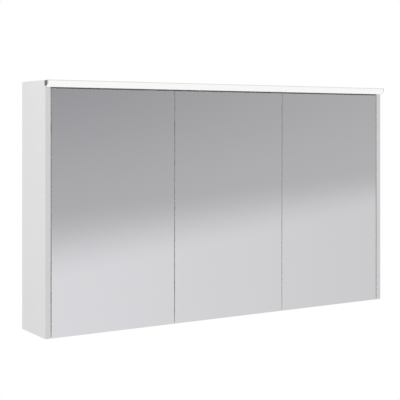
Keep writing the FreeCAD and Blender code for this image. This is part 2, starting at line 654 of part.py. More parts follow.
arms = []
arm_screws = []
catches = []
STRIKE_FACE = "Places.core_back + Sizes.strike_thickness"
CATCH_FACE = STRIKE_FACE + " + Sizes.catch_clearance"
CATCH_LOW = "Places.ceiling - Sizes.catch_height"
BUMPERS = (
    ("low", "Places.floor_under + Sizes.board_thickness / 2"),
    ("high", "Places.ceiling + Sizes.bumper_diameter / 2 + Sizes.bumper_rise"),
)
mid_glass = places.get("panel_front") + sizes.get("mirror_thickness") / 2
for door, sign, edge, face, panel in DOORS:
    free = "Places.door_width"
    door_x = band(sign, edge, "0", free)
    pivot_x = beyond(sign, edge, "Places.pivot_inset")
    core_holes = []
    bodies = []
    pins = []
    body_screws = []
    for level, middle in HINGES:
        mark = f"{door}_{level}_hinge"
        bodies.append(hinge_body(mark, sign, edge, middle))
        screws, holes = flange_screws(mark + "_flange", sign, edge, middle)
        body_screws += screws
        core_holes += holes
        core_holes.append(box(mark + "_pocket", band(sign, edge, f"-{OVERCUT}", "Places.block_width"),
                              (f"Places.mirror_back - {OVERCUT}", f"Places.core_back + {OVERCUT}"),
                              around(middle, BLOCK_HALF)))
        pins.append(rod(mark + "_pin", "z", PIN_RADIUS, pivot_x, "Places.pivot_y",
                        around(middle, BLOCK_HALF)))
        arms.append(hinge_arm(mark, sign, pivot_x, face, middle))
        screws, holes = arm_plate_screws(mark + "_plate", sign, face, middle)
        arm_screws += screws
        bores[panel] += holes
    board = prism(f"{door}_board", "XY_Plane", board_outline(sign, edge, free),
                  "Places.door_bottom", DOOR_HEIGHT)
    piece(cut(f"{door}_core", board, core_holes), f"{door}_door_core")
    glass = box(f"{door}_glass", door_x, ("Places.panel_front", "Places.mirror_back"), door_z)
    piece(eased(f"{door}_mirror", glass, "Part::Chamfer", "mirror_arris", lambda edge: edge.YMax < mid_glass),
          f"{door}_door_mirror")
    inner_glass = box(
        f"{door}_inner_glass",
        band(sign, edge, "Places.inner_mirror_margin", free + " - Places.inner_mirror_margin"),
        ("Places.core_back", "Places.core_back + Sizes.inner_mirror_thickness"),
        ("Places.door_bottom + Places.inner_mirror_margin", "Places.door_top - Places.inner_mirror_margin"))
    piece(inner_glass, f"{door}_door_inner_mirror")
    piece(group(f"{door}_bodies", bodies), f"{door}_hinge_bodies")
    piece(group(f"{door}_pins", pins), f"{door}_hinge_pins")
    piece(group(f"{door}_flange_screws", body_screws), f"{door}_hinge_screws")
    bumpers = []
    for spot, height in BUMPERS:
        bumpers.append(rod(f"{door}_{spot}_bumper", "y", "Sizes.bumper_diameter / 2",
                           beyond(sign, edge, free + " - Sizes.bumper_inset"),
                           ("Places.core_back", "Places.carcass_front - Sizes.bumper_clearance"), height))
    piece(group(f"{door}_bumper_pair", bumpers), f"{door}_door_bumpers")
    catch_end = free + " - Sizes.catch_inset"
    catch_x = band(sign, edge, catch_end + " - Sizes.catch_length", catch_end)
    piece(box(f"{door}_strike", catch_x, ("Places.core_back", STRIKE_FACE),
              (CATCH_LOW, CATCH_LOW + " + Sizes.strike_height")), f"{door}_strike_plate")
    catches.append(box(f"{door}_catch", catch_x, (CATCH_FACE, CATCH_FACE + " + Sizes.catch_depth"),
                       (CATCH_LOW, "Places.ceiling")))
piece(group("arms", arms), "hinge_arms")
piece(group("arm_screws", arm_screws), "hinge_arm_screws")
piece(group("catches", catches), "magnet_catches")

# Cam fittings that draw the side panels against the top and bottom panels.
CAM_ROWS = (
    ("front", "Places.carcass_front + Sizes.cam_inset"),
    ("back", "Places.back_front - Sizes.cam_inset"),
)
CAM_LEVELS = (
    ("top_panel", -1, "Places.tray_floor"),
    ("bottom_panel", 1, "Places.floor_under"),
)
CAM_RADIUS = "Sizes.cam_diameter / 2"
BOLT_RADIUS = "Sizes.bolt_diameter / 2"
cam_parts = []
for panel, inward, outer_z in CAM_LEVELS:
    bolt_z = beyond(inward, outer_z, "Sizes.board_thickness / 2")
    cam_z = band(inward, outer_z, "0", "Sizes.cam_height")
    slot_z = band(inward, outer_z, f"-{OVERCUT}", "Sizes.cam_slot / 2")
    for side, sign in (("left_side_panel", 1), ("right_side_panel", -1)):
        face = beyond(-sign, "0", "Places.inner_half")
        cam_x = beyond(sign, face, "Sizes.cam_setback")
        for row, row_y in CAM_ROWS:
            mark = f"{panel}_{side}_{row}"
            bolt_bore = rod(mark + "_bolt_bore", "x", BOLT_RADIUS + " + Sizes.fit_clearance",
                            band(sign, face, "-Sizes.bolt_depth - Sizes.fit_clearance",
                                 "Sizes.cam_setback + Sizes.fit_clearance"), row_y, bolt_z)
            slot = box(mark + "_slot", around(cam_x, "Sizes.cam_slot / 2"),
                       around(row_y, "Sizes.cam_diameter / 3"), slot_z)
            blank = rod(mark + "_blank", "z", CAM_RADIUS, cam_x, row_y, cam_z)
            cam_parts.append(cut(mark + "_cam", blank, [bolt_bore, slot]))
            cam_parts.append(rod(mark + "_bolt", "x", BOLT_RADIUS,
                                 band(sign, face, "-Sizes.bolt_depth", "Sizes.cam_setback"), row_y, bolt_z))
            bores[side].append(bolt_bore)
            bores[panel].append(bolt_bore)
            bores[panel].append(rod(
                mark + "_cam_bore", "z", CAM_RADIUS + " + Sizes.fit_clearance", cam_x, row_y,
                band(inward, outer_z, f"-{OVERCUT}", "Sizes.cam_height + Sizes.fit_clearance")))
piece(group("cams", cam_parts), "cam_fittings")

# Wall fixing: four holes through the back panel, each behind a steel plate.
PLATE_FRONT = "Places.back_front - Sizes.wall_plate_thickness"
plates = []
for column in (-1, 1):
    for row in (-1, 1):
        mark = f"wall_{'left' if column < 0 else 'right'}_{'low' if row < 0 else 'high'}"
        hole_x = f"{column} * (Sizes.cabinet_width / 2 - Sizes.wall_screw_inset_x)"
        hole_z = f"{row} * (Places.half_height - Sizes.wall_screw_inset_z)"
        hole = rod(mark + "_hole", "y", "Sizes.wall_screw_hole / 2", hole_x,
                   (f"{PLATE_FRONT} - {OVERCUT}", OVERCUT), hole_z)
        blank = box(mark + "_blank", around(hole_x, "Sizes.wall_plate_size / 2"),
                    (PLATE_FRONT, "Places.back_front"), around(hole_z, "Sizes.wall_plate_size / 2"))
        plates.append(cut(mark + "_plate", blank, [hole]))
        bores["back_panel"].append(hole)
piece(group("plates", plates), "wall_plates")

# Electric parts on the tray behind the light: driver, terminal block, leads, grommets and clips.
LEAD_RADIUS = "Sizes.lead_diameter / 2"
LEAD_BORE = "Sizes.lead_diameter / 2 + Sizes.fit_clearance"
driver_block = box("driver_block", ("Places.driver_left", "Places.driver_right"),
                   ("Places.tray_back - Sizes.driver_width", "Places.tray_back"),
                   ("Places.tray_floor", "Places.tray_floor + Sizes.driver_height"))
piece(eased("driver_case", driver_block, "Part::Fillet", "driver_easing",
            lambda edge: edge.ZLength > sizes.get("driver_height") / 2), "led_driver_case")
piece(box("terminal", ("Places.terminal_left", "Places.terminal_right"),
          ("Places.tray_back - Sizes.terminal_width", "Places.tray_back"),
          ("Places.tray_floor", "Places.tray_floor + Sizes.terminal_height")), "terminal_block")


def lead(label, corners, bend):
    """A lead along straight runs joined by arcs of one bend radius."""
    edges = []
    start = corners[0]
    for before, corner, after in zip(corners, corners[1:], corners[2:]):
        back = (before - corner).normalize()
        ahead = (after - corner).normalize()
        half_turn = back.getAngle(ahead) / 2
        reach = bend / math.tan(half_turn)
        middle = (back + ahead).normalize()
        crown = corner + middle * (bend / math.sin(half_turn) - bend)
        edges.append(Part.LineSegment(start, corner + back * reach).toShape())
        edges.append(Part.Arc(corner + back * reach, crown, corner + ahead * reach).toShape())
        start = corner + ahead * reach
    edges.append(Part.LineSegment(start, corners[-1]).toShape())
    path = Part.Wire(edges)
    radius = sizes.get("lead_diameter") / 2
    ring = Part.Wire([Part.Circle(corners[0], corners[1] - corners[0], radius).toShape()])
    cable = doc.addObject("Part::Feature", label + "_cable")
    cable.Shape = path.makePipeShell([ring], True, False)
    return piece(cable, label)


led_z = places.get("led_lead_z")
led_y = places.get("driver_y")
led_x = places.get("led_lead_x")
lead("led_lead", [
    Vector(places.get("driver_right"), led_y, led_z),
    Vector(led_x, led_y, led_z),
    Vector(led_x, places.get("light_back") - sizes.get("light_wall") - sizes.get("led_lead_tail"), led_z),
], sizes.get("lead_bend"))
piece(rod("driver_cable", "x", LEAD_RADIUS, ("Places.terminal_right", "Places.driver_left"),
          "Places.driver_y", "Places.tray_middle"), "driver_lead")
terminal_y = places.get("terminal_y")
drop_x = places.get("lead_drop_x")
drop_z = places.get("switch_lead_z")
lead("switch_lead", [
    Vector(places.get("terminal_left"), terminal_y, drop_z),
    Vector(drop_x, terminal_y, drop_z),
    Vector(drop_x, terminal_y, places.get("ceiling") - sizes.get("lead_entry_depth")),
], sizes.get("lead_drop_bend"))

GROMMET_RADIUS = LEAD_RADIUS + " + Sizes.grommet_wall"
lead_tube = rod("lead_tube", "z", GROMMET_RADIUS, "Places.lead_drop_x", "Places.terminal_y",
                ("Places.ceiling", "Places.tray_floor"))
lead_collar = rod("lead_collar", "z", GROMMET_RADIUS + " + Sizes.grommet_wall", "Places.lead_drop_x",
                  "Places.terminal_y", ("Places.tray_floor", "Places.tray_floor + Sizes.grommet_flange"))
lead_way = rod("lead_way", "z", LEAD_BORE, "Places.lead_drop_x", "Places.terminal_y",
               ("Places.ceiling - Sizes.lead_entry_depth - Sizes.fit_clearance", "Places.half_height"))
piece(cut("lead_bush", fuse("lead_ring", [lead_tube, lead_collar]), [lead_way]), "lead_grommet")
bores["top_panel"].append(rod(
    "lead_bush_bore", "z", GROMMET_RADIUS + " + Sizes.fit_clearance", "Places.lead_drop_x",
    "Places.terminal_y", (f"Places.ceiling - {OVERCUT}", f"Places.tray_floor + {OVERCUT}")))

SUPPLY_X = "(Places.terminal_left + Places.terminal_right) / 2"
SUPPLY_RADIUS = "Sizes.supply_bore / 2 + Sizes.grommet_wall"
COLLAR_FRONT = "Places.back_front - Sizes.grommet_flange"
supply_tube = rod("supply_tube", "y", SUPPLY_RADIUS, SUPPLY_X, ("Places.back_front", "0"),
                  "Places.tray_middle")
supply_collar = rod("supply_collar", "y", SUPPLY_RADIUS + " + Sizes.grommet_wall / 2", SUPPLY_X,
                    (COLLAR_FRONT, "Places.back_front"), "Places.tray_middle")
supply_way = rod("supply_way", "y", "Sizes.supply_bore / 2", SUPPLY_X,
                 (f"{COLLAR_FRONT} - {OVERCUT}", OVERCUT), "Places.tray_middle")
piece(cut("supply_bush", fuse("supply_ring", [supply_tube, supply_collar]), [supply_way]), "supply_grommet")
bores["back_panel"].append(rod(
    "supply_bush_bore", "y", SUPPLY_RADIUS + " + Sizes.fit_clearance", SUPPLY_X,
    (f"Places.back_front - {OVERCUT}", OVERCUT), "Places.tray_middle"))

CLIP_ROWS = ("back", "front")
clips = []
for step, row in enumerate(CLIP_ROWS, start=1):
    mark = f"{row}_lead_clip"
    clip_y = f"Places.driver_y + {step} * (Places.flange_back - Places.driver_y) / {len(CLIP_ROWS) + 1}"
    saddle = box(mark + "_saddle", around("Places.led_lead_x", "Sizes.clip_width / 2"),
                 around(clip_y, "Sizes.clip_width / 2"),
                 ("Places.tray_floor", f"Places.led_lead_z + {LEAD_RADIUS} + Sizes.clip_cover"))
    way = rod(mark + "_way", "y", LEAD_BORE, "Places.led_lead_x",
              around(clip_y, f"Sizes.clip_width / 2 + {OVERCUT}"), "Places.led_lead_z")
    clips.append(cut(mark, saddle, [way]))
piece(group("clips", clips), "cable_clips")

# Socket and switch box under the top panel of the right compartment.
socket_block = box("socket_block", ("Places.partition_outer", "Places.socket_right"),
                   ("Places.socket_front", "Places.back_front"), ("Places.socket_low", "Places.ceiling"))
BEFORE_SOCKET = f"Places.socket_front - {OVERCUT}"
SWITCH_BACK = "Places.socket_front + Sizes.switch_depth"
outlet_pocket = rod("outlet_pocket", "y", "Sizes.outlet_diameter / 2 + Sizes.fit_clearance",
                    "Places.outlet_x", (BEFORE_SOCKET, "Places.outlet_back"), "Places.socket_middle")
switch_pocket = box(
    "switch_pocket", around("Places.switch_x", "Sizes.switch_width / 2 + Sizes.fit_clearance"),
    (BEFORE_SOCKET, SWITCH_BACK),
    around("Places.socket_middle", "Sizes.switch_height / 2 + Sizes.fit_clearance"))
piece(cut("socket_case", socket_block, [outlet_pocket, switch_pocket, lead_way]), "socket_box")

outlet_barrel = rod("outlet_barrel", "y", "Sizes.outlet_diameter / 2", "Places.outlet_x",
                    ("Places.socket_front", "Places.outlet_back"), "Places.socket_middle")
outlet_well = rod("outlet_well", "y", "Sizes.outlet_well_diameter / 2", "Places.outlet_x",
                  (BEFORE_SOCKET, "Places.well_floor"), "Places.socket_middle")
contact_holes = [
    rod(f"{side}_contact", "y", "Sizes.outlet_contact_diameter / 2",
        beyond(sign, "Places.outlet_x", "Sizes.outlet_contact_spacing / 2"),
        (f"Places.well_floor - {OVERCUT}", "(Places.well_floor + Places.outlet_back) / 2"),
        "Places.socket_middle")
    for side, sign in (("left", -1), ("right", 1))
]
piece(cut("outlet", outlet_barrel, [outlet_well] + contact_holes), "socket_outlet")

frame_block = box("frame_block", around("Places.switch_x", "Sizes.switch_width / 2"),
                  ("Places.socket_front", SWITCH_BACK),
                  around("Places.socket_middle", "Sizes.switch_height / 2"))
frame_rim = box("frame_rim", around("Places.switch_x", "Sizes.switch_width / 2 + Sizes.switch_rim"),
                ("Places.switch_face", "Places.socket_front"),
                around("Places.socket_middle", "Sizes.switch_height / 2 + Sizes.switch_rim"))
frame_window = box("frame_window", around("Places.switch_x", "Places.window_half_x"),
                   (f"Places.switch_face - {OVERCUT}", f"{SWITCH_BACK} - Sizes.switch_wall"),
                   around("Places.socket_middle", "Places.window_half_z"))
TRUNNION_HALF = "Places.rocker_half_x + Sizes.rocker_clearance + Sizes.trunnion_length"
trunnion_bore = rod("trunnion_bore", "x", "Sizes.trunnion_diameter / 2 + Sizes.running_clearance",
                    around("Places.switch_x", TRUNNION_HALF + " + Sizes.rocker_clearance"),
                    "Places.rocker_y", "Places.socket_middle")
frame_moulding = fuse("frame_moulding", [frame_block, frame_rim])
piece(cut("frame", frame_moulding, [frame_window, trunnion_bore]), "switch_frame")

# Rocker: a dished key tilting on two trunnions; drawn about its axis, then tilted to rest.
key_outline = (
    ("Sizes.rocker_dish - Sizes.rocker_depth", "0"),
    ("-Sizes.rocker_depth", "Places.rocker_half_z"),
    ("-Sizes.rocker_heel", "Places.rocker_half_z"),
    ("Sizes.rocker_heel", "Places.rocker_half_z / 3"),
    ("Sizes.rocker_heel", "-Places.rocker_half_z / 3"),
    ("-Sizes.rocker_heel", "-Places.rocker_half_z"),
    ("-Sizes.rocker_depth", "-Places.rocker_half_z"),
)
key = prism("rocker_key", "YZ_Plane", key_outline, "-Places.rocker_half_x", "2 * Places.rocker_half_x")
trunnions = rod("trunnions", "x", "Sizes.trunnion_diameter / 2", around("0", TRUNNION_HALF), "0", "0")
rocker = fuse("rocker", [key, trunnions])
rocker.Placement = Placement(Vector(), Rotation(Vector(1, 0, 0), sizes.get("rocker_tilt")))
rocker.setExpression("Placement.Base.x", "Places.switch_x")
rocker.setExpression("Placement.Base.y", "Places.rocker_y")
rocker.setExpression("Placement.Base.z", "Places.socket_middle")
piece(rocker, "switch_rocker")

# Carcass boards, with every bore collected above.
notch_y = (f"Places.panel_front - {OVERCUT}", "Places.light_back")
notch_z = ("Places.light_bottom", f"Places.half_height + {OVERCUT}")
PANEL_SIDES = (
    ("left_side_panel", ("-Sizes.cabinet_width / 2", "-Places.inner_half")),
    ("right_side_panel", ("Places.inner_half", "Sizes.cabinet_width / 2")),
)
for name, panel_x in PANEL_SIDES:
    blank = box(name + "_blank", panel_x, ("Places.panel_front", "0"),
                ("-Places.half_height", "Places.half_height"))
    rounded = eased(name + "_rounded", blank, "Part::Fillet", "edge_easing", lambda edge: True)
    notch_x = (f"{panel_x[0]} - {OVERCUT}", f"{panel_x[1]} + {OVERCUT}")
    notch = box(name + "_notch", notch_x, notch_y, notch_z)
    piece(cut(name + "_cut", rounded, [notch] + bores[name]), name)

inner_x = ("-Places.inner_half", "Places.inner_half")
inner_y = ("Places.carcass_front", "Places.back_front")
room_z = ("Places.floor_top", "Places.ceiling")
INNER_BOARDS = (
    ("top_panel", inner_x, inner_y, ("Places.ceiling", "Places.tray_floor")),
    ("bottom_panel", inner_x, inner_y, ("Places.floor_under", "Places.floor_top")),
    ("left_partition", ("-Places.partition_outer", "-Places.partition_inner"), inner_y, room_z),
    ("right_partition", ("Places.partition_inner", "Places.partition_outer"), inner_y, room_z),
    ("back_panel", inner_x, ("Places.back_front", "0"), ("Places.floor_under", "Places.half_height")),
)
for name, board_x, board_y, board_z in INNER_BOARDS:
    piece(cut(name + "_cut", box(name + "_blank", board_x, board_y, board_z), bores[name]), name)

doc.recompute()

faults = [item.Label for item in doc.Objects if "Invalid" in item.State or "Error" in item.State]
if faults:
    raise RuntimeError("not built: " + ", ".join(faults))

os.makedirs("parts", exist_ok=True)
for solid in PIECES:
    if solid.Shape.isNull() or not solid.Shape.isValid():
        raise RuntimeError("bad shape: " + solid.Label)
    solid.Shape.exportStep(f"parts/{solid.Label}.step")
print(len(PIECES), "pieces written")
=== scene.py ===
import bmesh
import bpy
import math
from mathutils import Matrix, Vector


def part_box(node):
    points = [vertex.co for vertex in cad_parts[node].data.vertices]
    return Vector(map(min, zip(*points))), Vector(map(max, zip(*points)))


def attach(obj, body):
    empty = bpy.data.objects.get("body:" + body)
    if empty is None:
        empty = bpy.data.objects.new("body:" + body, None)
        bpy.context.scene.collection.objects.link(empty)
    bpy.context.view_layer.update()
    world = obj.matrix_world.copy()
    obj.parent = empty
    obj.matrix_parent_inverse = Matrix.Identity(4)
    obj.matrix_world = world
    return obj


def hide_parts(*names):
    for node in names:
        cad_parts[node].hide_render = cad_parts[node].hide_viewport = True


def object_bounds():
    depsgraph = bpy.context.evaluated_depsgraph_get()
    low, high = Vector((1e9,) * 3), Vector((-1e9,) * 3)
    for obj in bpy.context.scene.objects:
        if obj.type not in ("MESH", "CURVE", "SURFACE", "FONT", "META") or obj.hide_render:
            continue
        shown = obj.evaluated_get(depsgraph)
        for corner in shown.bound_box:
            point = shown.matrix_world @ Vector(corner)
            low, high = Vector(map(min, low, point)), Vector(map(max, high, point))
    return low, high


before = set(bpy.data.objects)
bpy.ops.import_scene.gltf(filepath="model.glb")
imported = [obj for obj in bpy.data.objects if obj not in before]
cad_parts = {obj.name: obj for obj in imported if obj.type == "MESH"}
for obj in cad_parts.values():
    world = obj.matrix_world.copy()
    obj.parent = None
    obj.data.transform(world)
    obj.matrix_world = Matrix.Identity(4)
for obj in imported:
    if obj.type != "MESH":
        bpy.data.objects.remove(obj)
cad_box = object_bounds()
scene = bpy.context.scene

# Boards: side panels, top, bottom, partitions, back and door cores. They are sawn to size, eased at the
# edges and sprayed with a white lacquer, which dries with a very fine orange peel.
# Cam fittings draw the carcass together, so no joint shows outside.


class Shade:
    """One socket of a finish's nodes; sums written with it add the nodes that work them out."""

    def __init__(self, tree, socket=None):
        self.tree = tree
        self.socket = socket

    def node(self, kind, settings=None, sockets=None, out=0):
        made = self.tree.nodes.new(kind)
        for name, value in (settings or {}).items():
            setattr(made, name, value)
        for key, value in (sockets or {}).items():
            if isinstance(value, Shade):
                self.tree.links.new(value.socket, made.inputs[key])
            else:
                made.inputs[key].default_value = value
        return Shade(self.tree, made.outputs[out] if made.outputs else None)

    def sum(self, operation, first, second):
        return self.node("ShaderNodeMath", {"operation": operation}, {0: first, 1: second})

    def blend(self, first, second):
        return self.node("ShaderNodeMix", {"data_type": "RGBA"}, {0: self, 6: first, 7: second}, 2)

    def between(self, low, high):
        return self.node("ShaderNodeMapRange", {"interpolation_type": "SMOOTHSTEP"},
                         {"Value": self, "From Min": low, "From Max": high})

    def part(self, axis):
        return self.node("ShaderNodeSeparateXYZ", {}, {0: self}, axis)

    def __add__(self, other):
        return self.sum("ADD", self, other)

    def __sub__(self, other):
        return self.sum("SUBTRACT", self, other)

    def __rsub__(self, other):
        return self.sum("SUBTRACT", other, self)

    def __mul__(self, other):
        return self.sum("MULTIPLY", self, other)

    def __truediv__(self, other):
        return self.sum("DIVIDE", self, other)

    def __rtruediv__(self, other):
        return self.sum("DIVIDE", other, self)

    def __lt__(self, other):
        return self.sum("LESS_THAN", self, other)

    def __gt__(self, other):
        return self.sum("GREATER_THAN", self, other)

    def __abs__(self):
        return self.sum("MAXIMUM", self, 0 - self)

    __radd__ = __add__
    __rmul__ = __mul__


def new_finish(name):
    """An empty finish, and the places on the piece, which its nodes begin with."""
    made = bpy.data.materials.new(name)
    made.use_nodes = True
    made.node_tree.nodes.clear()
    return made, Shade(made.node_tree).node("ShaderNodeTexCoord", out="Object")


def spots(place, per_metre, detail=2.0):
    """Soft random spots, so many to the metre."""
    return place.node("ShaderNodeTexNoise", {}, {"Vector": place, "Scale": per_metre, "Detail": detail})


def raised(height, depth, strength):
    """Small relief of a given depth in metres."""
    return height.node("ShaderNodeBump", {}, {"Height": height, "Distance": depth, "Strength": strength})


def close(place, sockets):
    """End a finish with one surface shader."""
    surface = place.node("ShaderNodeBsdfPrincipled", {}, sockets)
    place.node("ShaderNodeOutputMaterial", {}, {"Surface": surface})


def dress(finish, *names):
    """Give a finish to pieces of the cabinet."""
    for name in names:
        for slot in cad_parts[name].material_slots:
            slot.material = finish


lacquer, place = new_finish("white_lacquer")
clouds = spots(place, 5)
peel = spots(place, 650)
close(place, {
    "Base Color": clouds.blend((0.755, 0.757, 0.76, 1), (0.785, 0.785, 0.785, 1)),
    "Roughness": 0.36 + 0.08 * peel,
    "Normal": raised(peel, depth=0.00004, strength=0.2),
})

MM = 0.001


def fit(name, form, finish, body, stands_for=(), rounding=0.0):
    """A new piece on one body of the cabinet, its edges rounded by so many millimetres."""
    mesh = bpy.data.meshes.new(name)
    mesh.from_pydata(form[0], [], form[1])
    mesh.materials.append(finish)
    mesh.shade_smooth()
    mesh.set_sharp_from_angle(angle=math.radians(35))
    made = bpy.data.objects.new(name, mesh)
    scene.collection.objects.link(made)
    if rounding:
        bevel = made.modifiers.new("rounded_edges", "BEVEL")
        bevel.width = rounding * MM
        bevel.segments = 2
        bevel.angle_limit = math.radians(40)
        bevel.harden_normals = True
    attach(made, body)
    if stands_for:
        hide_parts(*stands_for)


def cad_form(name):
    """The shape of a CAD node, each flat face in one piece."""
    cad = bmesh.new()
    cad.from_mesh(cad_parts[name].data)
    bmesh.ops.remove_doubles(cad, verts=cad.verts, dist=1e-6)
    bmesh.ops.dissolve_limit(cad, angle_limit=math.radians(1), verts=cad.verts, edges=cad.edges)
    cad.verts.index_update()
    form = ([point.co.copy() for point in cad.verts],
            [tuple(corner.index for corner in face.verts) for face in cad.faces])
    cad.free()
    return form


def rounded(name, node, finish, body, rounding):
    """A CAD node's own shape with its edges rounded, which stands for it."""
    fit(name, cad_form(node), finish, body, [node], rounding)


DOORS = ("left", "middle", "right")
CARCASS = ("left_side_panel", "right_side_panel", "top_panel", "bottom_panel", "left_partition",
           "right_partition", "back_panel")
EASED = 0.5
for board in CARCASS:
    rounded(f"lacquered_{board}", board, lacquer, "cabinet", rounding=EASED)
for door in DOORS:
    core = f"{door}_door_core"
    rounded(f"lacquered_{door}_core", core, lacquer, f"{door}_door", rounding=EASED)

# Board connectors and wall plates: cams with their bolts draw the side panels against the top and bottom,
# and a pressed steel plate spreads the load round each wall screw hole. All are zinc plated, with a faint
# mottle. Two small cross-head screws hold each plate on the back panel.
zinc, place = new_finish("zinc_plate")
mottle = spots(place, 260, detail=4)
lines = spots(place, 2400, detail=1)
close(place, {
    "Base Color": mottle.blend((0.50, 0.51, 0.53, 1), (0.68, 0.69, 0.70, 1)),
    "Metallic": 1.0,
    "Roughness": 0.26 + 0.2 * mottle,
    "Normal": raised(lines, depth=0.00003, strength=0.25),
})
dress(zinc, "cam_fittings")

HEAD_HEIGHT = 2.0
CROSS_REACH = 2.2
CROSS_HALF = 0.45
THREAD_PITCH = 1.25


def solids(name):
    """Lowest and highest corners of each separate solid of a CAD node."""
    cad = bmesh.new()
    cad.from_mesh(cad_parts[name].data)
    bmesh.ops.remove_doubles(cad, verts=cad.verts, dist=1e-6)
    waiting = set(cad.verts)
    boxes = []
    while waiting:
        reached = [waiting.pop()]
        for point in reached:
            linked = {edge.other_vert(point) for edge in point.link_edges} & waiting
            waiting -= linked
            reached += linked
        sides = [[point.co[axis] for point in reached] for axis in range(3)]
        boxes.append((tuple(map(min, sides)), tuple(map(max, sides))))
    cad.free()
    return [(Vector(low), Vector(high)) for low, high in sorted(boxes)]


def aimed(top, way, size=1.0):
    """A place for a form whose top is at a point and faces a given way."""
    turn = Vector((0, 0, 1)).rotation_difference(Vector(way)).to_matrix().to_4x4()
    return Matrix.Translation(top) @ turn @ Matrix.Scale(size, 4)


def turned(rings, steps=48):
    """A form turned about Z, from rings of radius, or radius by angle, and height in millimetres."""
    points = []
    faces = [tuple(reversed(range(steps)))]
    for radius, height in rings:
        for step in range(steps):
            angle = math.tau * step / steps
            reach = radius(angle) if callable(radius) else radius
            points.append(Vector((reach * math.cos(angle), reach * math.sin(angle), height)) * MM)
    for ring in range(len(rings) - 1):
        for step in range(steps):
            near = ring * steps + step
            far = ring * steps + (step + 1) % steps
            faces.append((near, far, far + steps, near + steps))
    faces.append(tuple(range(len(points) - steps, len(points))))
    return points, faces


def cross_wall(size):
    """How far the wall of a cross recess stands from its middle, at each angle."""
    def distance(angle):
        off_arm = abs((angle + math.pi / 4) % (math.pi / 2) - math.pi / 4)
        return size * min(CROSS_REACH, CROSS_HALF / max(math.sin(off_arm), 0.01))
    return distance


def screw(length):
    """A pan-head screw with a cross recess and a rolled thread, hanging down from the top of its head."""
    rings = [(0.3, -length), (1.3, 2.5 - length)]
    for turn in range(int((length - HEAD_HEIGHT - 4) / THREAD_PITCH)):
        foot = THREAD_PITCH * turn - length
        rings += [(1.9, 3 + foot), (1.35, 3.6 + foot)]
    rings += [(1.9, -3.2), (1.9, -HEAD_HEIGHT)]
    rings += [(4, -HEAD_HEIGHT), (4, -1.5), (3.6, -0.7), (3, -0.2), (2.5, -0.05)]
    rings += [(cross_wall(1), 0), (cross_wall(0.6), -1.3), (0.2, -1.5)]
    return turned(rings)


def copies(form, places):
    """The same form set down at several places."""
    points, faces = form
    all_points = []
    all_faces = []
    for place in places:
        first = len(all_points)
        all_points += [place @ point for point in points]
        all_faces += [tuple(first + corner for corner in face) for face in faces]
    return all_points, all_faces


rounded("wall_plate_pressings", "wall_plates", zinc, "cabinet", rounding=0.6)
PLATE_SCREW_SIZE = 0.6
PLATE_SCREW_LENGTH = 12
PLATE_SCREW_OFFSET = 13 * MM
plate_corners = []
for low, high in solids("wall_plates"):
    middle = (low + high) / 2
    head_y = low.y - PLATE_SCREW_SIZE * HEAD_HEIGHT * MM
    for offset in (-PLATE_SCREW_OFFSET, PLATE_SCREW_OFFSET):
        corner = (middle.x + offset, head_y, middle.z + offset)
        plate_corners.append(aimed(corner, (0, -1, 0), PLATE_SCREW_SIZE))
fit("wall_plate_screws", copies(screw(PLATE_SCREW_LENGTH), plate_corners), zinc, "cabinet")

# Shelves: 6 mm clear float glass, lying on four nickel plated pegs each that plug into the boards.
# The edges are ground and polished, so they show the green of the glass.
nickel, place = new_finish("nickel_plate")
drawn = place.node("ShaderNodeVectorMath", {"operation": "MULTIPLY"}, {0: place, 1: (3000, 300, 3000)})
brush = spots(drawn, 1.0, detail=2)
tone = spots(place, 60)
close(place, {
    "Base Color": tone.blend((0.66, 0.645, 0.62, 1), (0.78, 0.765, 0.74, 1)),
    "Metallic": 1.0,
    "Roughness": 0.2 + 0.16 * brush,
    "Normal": raised(brush, depth=0.00002, strength=0.3),
})
rounded("shelf_pegs", "shelf_supports", nickel, "cabinet", rounding=0.4)

shelf_glass, place = new_finish("shelf_glass")
facing = place.node("ShaderNodeTexCoord", out="Normal")
edge = abs(facing.part("Z")) < 0.9
ground = spots(place, 1800)
smear = spots(place, 14)
clear = place.node("ShaderNodeBsdfPrincipled", {}, {
    "Base Color": (0.95, 0.98, 0.97, 1),
    "Roughness": 0.015 + 0.02 * smear,
    "IOR": 1.52,
    "Transmission Weight": 1.0,
})
green = place.node("ShaderNodeBsdfPrincipled", {}, {
    "Base Color": ground.blend((0.30, 0.50, 0.43, 1), (0.40, 0.60, 0.53, 1)),
    "Roughness": 0.15 + 0.2 * ground,
})
glass = place.node("ShaderNodeMixShader", {}, {0: edge, 1: clear, 2: green})
place.node("ShaderNodeOutputMaterial", {}, {"Surface": glass})
dress(shelf_glass, *(f"{door}_{level}_shelf" for door in DOORS for level in ("lower", "upper")))

# Hinges: die-cast zinc, nickel plated and lightly brushed, with rounded casting edges.
# The arm plates are screwed to the boards and the flanges to the doors; a steel pin joins the two.
# Two small cross-head screws on the back of each arm adjust the door.
rounded("hinge_arm_castings", "hinge_arms", nickel, "cabinet", rounding=0.4)
ARM_FACE = 12
ADJUSTER_SIZE = 0.75
ADJUSTER_LENGTH = 9
ADJUSTERS_FROM_END = (7, 18)
adjusters = []
for low, high in solids("hinge_arms"):
    way = 1 if low.x < 0 else -1
    face = (low.x if way > 0 else high.x) + way * (ARM_FACE + ADJUSTER_SIZE * HEAD_HEIGHT) * MM
    for from_end in ADJUSTERS_FROM_END:
        head = (face, high.y - from_end * MM, (low.z + high.z) / 2)
        adjusters.append(aimed(head, (way, 0, 0), ADJUSTER_SIZE))
fit("hinge_adjusters", copies(screw(ADJUSTER_LENGTH), adjusters), zinc, "cabinet")


def tops(name, way):
    """Where the top of each solid of a CAD node is, and the way it faces."""
    places = []
    for low, high in solids(name):
        middle = (low + high) / 2
        axis = Vector(way(middle) if callable(way) else way)
        places.append(aimed(middle + axis * abs((high - low).dot(axis)) / 2, axis))
    return places


